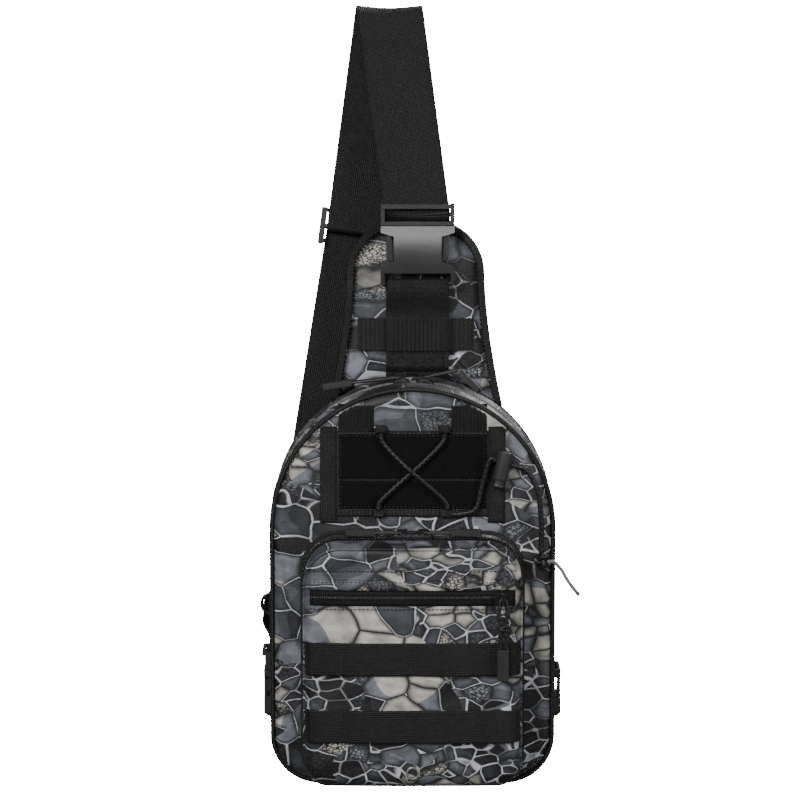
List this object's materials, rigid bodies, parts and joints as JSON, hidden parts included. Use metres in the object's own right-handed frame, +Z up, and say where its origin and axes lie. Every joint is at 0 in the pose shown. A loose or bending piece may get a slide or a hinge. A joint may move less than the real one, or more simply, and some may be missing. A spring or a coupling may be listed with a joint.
{
  "type": "sling bag",
  "caption": "Arched sling bag with a zipped front pocket, webbing rows, padded yoke and an adjustable shoulder strap on side-release buckles.",
  "frame": {"origin": "inside of the shoulder strap's top fold, where the bag hangs", "axes": "+Z up as the bag hangs, -Y towards the bag's front, +X to the right seen from the front"},
  "size_m": [0.2469, 0.1532, 0.5929],
  "materials": {
    "camo_fabric": "woven polyester printed with a honeycomb camouflage",
    "mesh_padding": "open spacer mesh",
    "zip_tape": "woven tape with a nylon coil",
    "binding": "fine woven binding tape",
    "webbing": "ribbed polyester webbing",
    "loop_fleece": "brushed loop pile",
    "buckle_plastic": "moulded, semi-gloss",
    "cord": "braided elastic",
    "thin_cord": "braided",
    "ring_metal": "black lacquer",
    "eyelet_metal": "black nickel",
    "slider_metal": "black lacquer",
    "pull_rubber": "moulded, matte"
  },
  "bodies": {
    "bag_back": {"back_panel": "camo_fabric", "back_padding": "mesh_padding", "rear_gusset": "camo_fabric", "rear_zip_tape": "zip_tape", "rear_piping": "binding", "shoulder_yoke": "camo_fabric", "yoke_binding": "binding", "yoke_center_webbing": "webbing", "yoke_cross_webbing": "webbing", "big_receptacle": "buckle_plastic", "left_tab": "webbing", "left_receptacle": "buckle_plastic", "right_tab": "webbing", "d_ring_tab": "webbing"},
    "front_half": {"front_panel": "camo_fabric", "front_gusset": "camo_fabric", "front_zip_tape": "zip_tape", "front_piping": "binding", "loop_field": "loop_fleece", "panel_strips": "webbing", "ribbed_webbing": "webbing", "cord_anchors": "webbing", "elastic_cord_a": "cord", "elastic_cord_b": "cord", "cord_lock_barrel": "buckle_plastic", "free_cord": "cord", "cord_knot": "cord", "thin_tail": "thin_cord", "pocket_rear_gusset": "camo_fabric", "pocket_binding": "binding", "side_webbing": "webbing"},
    "pocket_front": {"pocket_face": "camo_fabric", "pocket_front_gusset": "camo_fabric", "pocket_piping": "binding", "pocket_hem": "camo_fabric", "face_zip": "zip_tape", "webbing_rows": "webbing", "drain_eyelet": "eyelet_metal"},
    "main_slider_left": {"main_slider_left": "slider_metal"},
    "main_slider_right": {"main_slider_right": "slider_metal"},
    "main_pull_left": {"main_pull_left": "pull_rubber"},
    "main_pull_right": {"main_pull_right": "pull_rubber"},
    "pocket_slider_left": {"pocket_slider_left": "slider_metal"},
    "pocket_slider_right": {"pocket_slider_right": "slider_metal"},
    "pocket_pull_left": {"pocket_pull_left": "pull_rubber"},
    "pocket_pull_right": {"pocket_pull_right": "pull_rubber"},
    "face_slider": {"face_slider": "slider_metal"},
    "face_pull": {"face_pull": "pull_rubber"},
    "strap": {"strap_outer_layer": "webbing", "strap_inner_layer": "webbing", "strap_tail": "webbing", "big_plug": "buckle_plastic", "small_plug": "buckle_plastic"},
    "prong_left": {"plug_prongs_left": "buckle_plastic"},
    "prong_right": {"plug_prongs_right": "buckle_plastic"},
    "strap_slider": {"strap_slider": "buckle_plastic", "slider_loop": "webbing"},
    "d_ring": {"d_ring": "ring_metal"},
    "right_buckle": {"right_receptacle": "buckle_plastic"},
    "cord_lock_plunger": {"cord_lock_plunger": "buckle_plastic"}
  },
  "joints": [
    {"name": "front_half_open", "type": "hinge", "parent": "bag_back", "child": "front_half", "pos_m": [0.01799, -0.0382, -0.5874], "axis": [1, 0, 0], "range_deg": [0, 40]},
    {"name": "pocket_open", "type": "hinge", "parent": "front_half", "child": "pocket_front", "pos_m": [0.01799, -0.1002, -0.5814], "axis": [1, 0, 0], "range_deg": [0, 60]},
    {"name": "main_slider_left_run", "type": "hinge", "parent": "bag_back", "child": "main_slider_left", "pos_m": [0.01799, -0.0382, -0.3904], "axis": [0, -1, 0], "range_deg": [0, 75]},
    {"name": "main_slider_right_run", "type": "hinge", "parent": "bag_back", "child": "main_slider_right", "pos_m": [0.01799, -0.0382, -0.3904], "axis": [0, 1, 0], "range_deg": [0, 75]},
    {"name": "main_pull_left_lift", "type": "hinge", "parent": "main_slider_left", "child": "main_pull_left", "pos_m": [0.00898, -0.0382, -0.27836], "axis": [0, 1, 0], "range_deg": [0, 60]},
    {"name": "main_pull_right_lift", "type": "hinge", "parent": "main_slider_right", "child": "main_pull_right", "pos_m": [0.027, -0.0382, -0.27836], "axis": [0, -1, 0], "range_deg": [0, 60]},
    {"name": "pocket_slider_left_run", "type": "slide", "parent": "front_half", "child": "pocket_slider_left", "axis": [-1, 0, 0], "range_m": [0, 0.042]},
    {"name": "pocket_slider_right_run", "type": "slide", "parent": "front_half", "child": "pocket_slider_right", "axis": [1, 0, 0], "range_m": [0, 0.042]},
    {"name": "pocket_pull_left_lift", "type": "hinge", "parent": "pocket_slider_left", "child": "pocket_pull_left", "pos_m": [0.00999, -0.1002, -0.389], "axis": [0, 1, 0], "range_deg": [0, 50]},
    {"name": "pocket_pull_right_lift", "type": "hinge", "parent": "pocket_slider_right", "child": "pocket_pull_right", "pos_m": [0.02599, -0.1002, -0.389], "axis": [0, -1, 0], "range_deg": [0, 50]},
    {"name": "face_slider_run", "type": "slide", "parent": "pocket_front", "child": "face_slider", "axis": [-1, 0, 0], "range_m": [0, 0.13]},
    {"name": "face_pull_swing", "type": "hinge", "parent": "face_slider", "child": "face_pull", "pos_m": [0.08599, -0.1286, -0.4354], "axis": [-1, 0, 0], "range_deg": [0, 80]},
    {"name": "strap_release", "type": "slide", "parent": "bag_back", "child": "strap", "axis": [0, 0, 1], "range_m": [0, 0.028]},
    {"name": "prong_left_flex", "type": "hinge", "parent": "strap", "child": "prong_left", "pos_m": [0.00009, -0.0142, -0.1633], "axis": [0, -1, 0], "range_deg": [0, 5], "stiffness_Nm_per_rad": 0.3},
    {"name": "prong_right_flex", "type": "hinge", "parent": "strap", "child": "prong_right", "pos_m": [0.04389, -0.0142, -0.1633], "axis": [0, 1, 0], "range_deg": [0, 5], "stiffness_Nm_per_rad": 0.3},
    {"name": "strap_slider_run", "type": "slide", "parent": "strap", "child": "strap_slider", "axis": [0.1323, 0, 0.9912], "range_m": [0, 0.06]},
    {"name": "d_ring_swing", "type": "hinge", "parent": "bag_back", "child": "d_ring", "pos_m": [-0.09161, -0.0312, -0.4579], "axis": [0, 0, 1], "range_deg": [0, 80]},
    {"name": "right_buckle_swing", "type": "hinge", "parent": "bag_back", "child": "right_buckle", "pos_m": [0.13009, -0.0167, -0.5444], "axis": [0, 1, 0], "range_deg": [0, 80]},
    {"name": "cord_lock_press", "type": "slide", "parent": "front_half", "child": "cord_lock_plunger", "axis": [0.2334, 0, 0.9724], "range_m": [0, 0.0035], "stiffness_N_per_m": 600}
  ]
}
